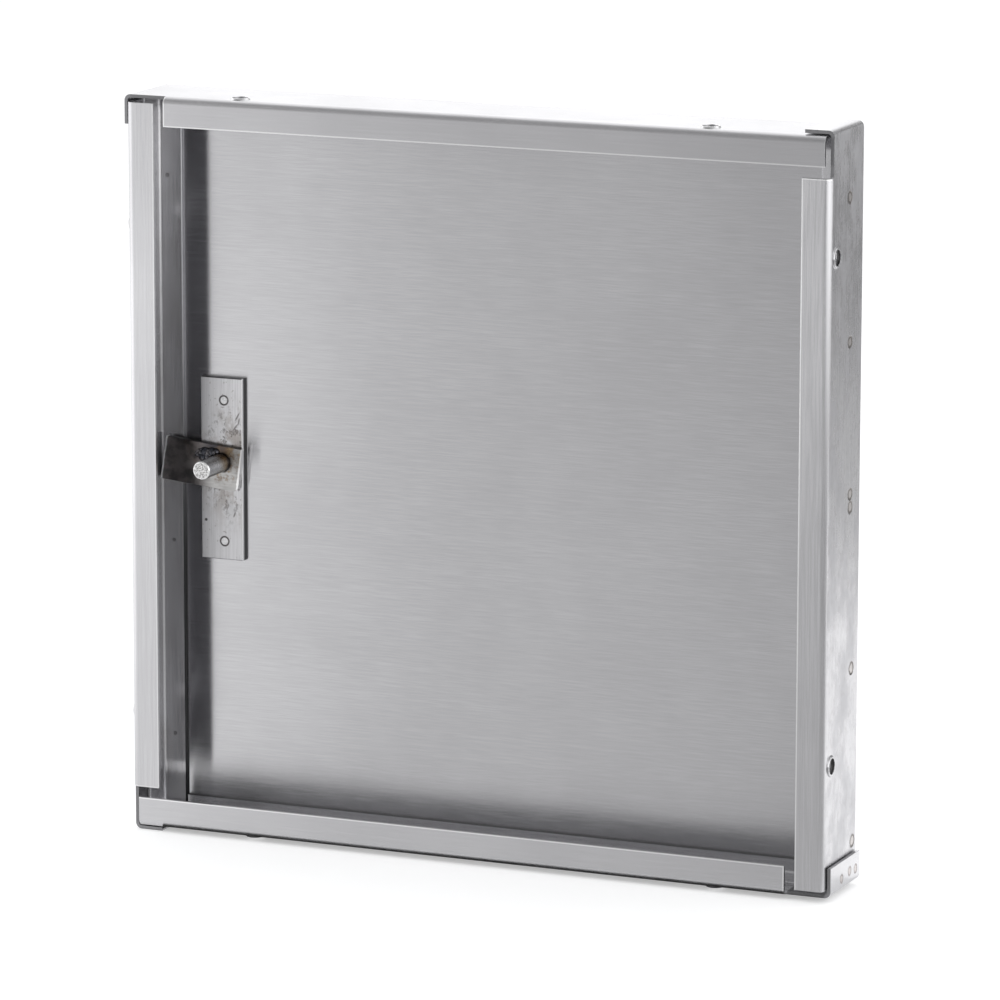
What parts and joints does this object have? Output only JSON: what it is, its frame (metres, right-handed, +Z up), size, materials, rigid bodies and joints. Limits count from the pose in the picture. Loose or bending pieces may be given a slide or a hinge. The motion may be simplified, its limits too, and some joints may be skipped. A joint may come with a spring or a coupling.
{
  "type": "recessed access panel",
  "caption": "Square folded-sheet access panel: a channel frame with stop angles, a hinged recessed door tray and a riveted quarter-turn cam latch.",
  "frame": {"origin": "below the middle of the panel, at the underside of the lowest end tab", "axes": "+X across the panel towards the hinge, +Y from the rear flanges to the public side, +Z up"},
  "size_m": [0.3218, 0.0382, 0.3217],
  "materials": {
    "frame_sheet": "brushed stainless sheet, grain along each side",
    "stop_sheet": "brushed stainless sheet, grain along each angle",
    "door_sheet": "brushed stainless sheet, level grain",
    "hinge_steel": "plain stainless",
    "plate_steel": "brushed stainless bar",
    "rivet_steel": "ground flush",
    "shaft_steel": "turned stainless",
    "cam_steel": "stainless bar with brown heat tint",
    "weld_metal": "raw dark weld"
  },
  "bodies": {
    "frame": {"frame_bottom_channel": "frame_sheet", "stop_angle_bottom": "stop_sheet", "frame_right_channel": "frame_sheet", "stop_angle_right": "stop_sheet", "frame_top_channel": "frame_sheet", "stop_angle_top": "stop_sheet", "frame_left_channel": "frame_sheet", "stop_angle_left": "stop_sheet", "hinge_frame_leaf": "hinge_steel", "hinge_pin": "hinge_steel"},
    "door": {"door_tray": "door_sheet", "hinge_door_leaf": "hinge_steel", "latch_plate": "plate_steel", "latch_rivet_upper": "rivet_steel", "latch_rivet_lower": "rivet_steel"},
    "latch": {"cam_shaft": "shaft_steel", "cam_plate": "cam_steel", "cam_weld": "weld_metal"}
  },
  "joints": [
    {"name": "door_hinge", "type": "hinge", "parent": "frame", "child": "door", "pos_m": [0.15455, 0.01665, 0.16085], "axis": [0, 0, -1], "range_deg": [0, 105]},
    {"name": "cam_turn", "type": "hinge", "parent": "door", "child": "latch", "pos_m": [-0.12536, 0.00355, 0.1603], "axis": [0, -1, 0], "range_deg": [0, 95.5]}
  ]
}
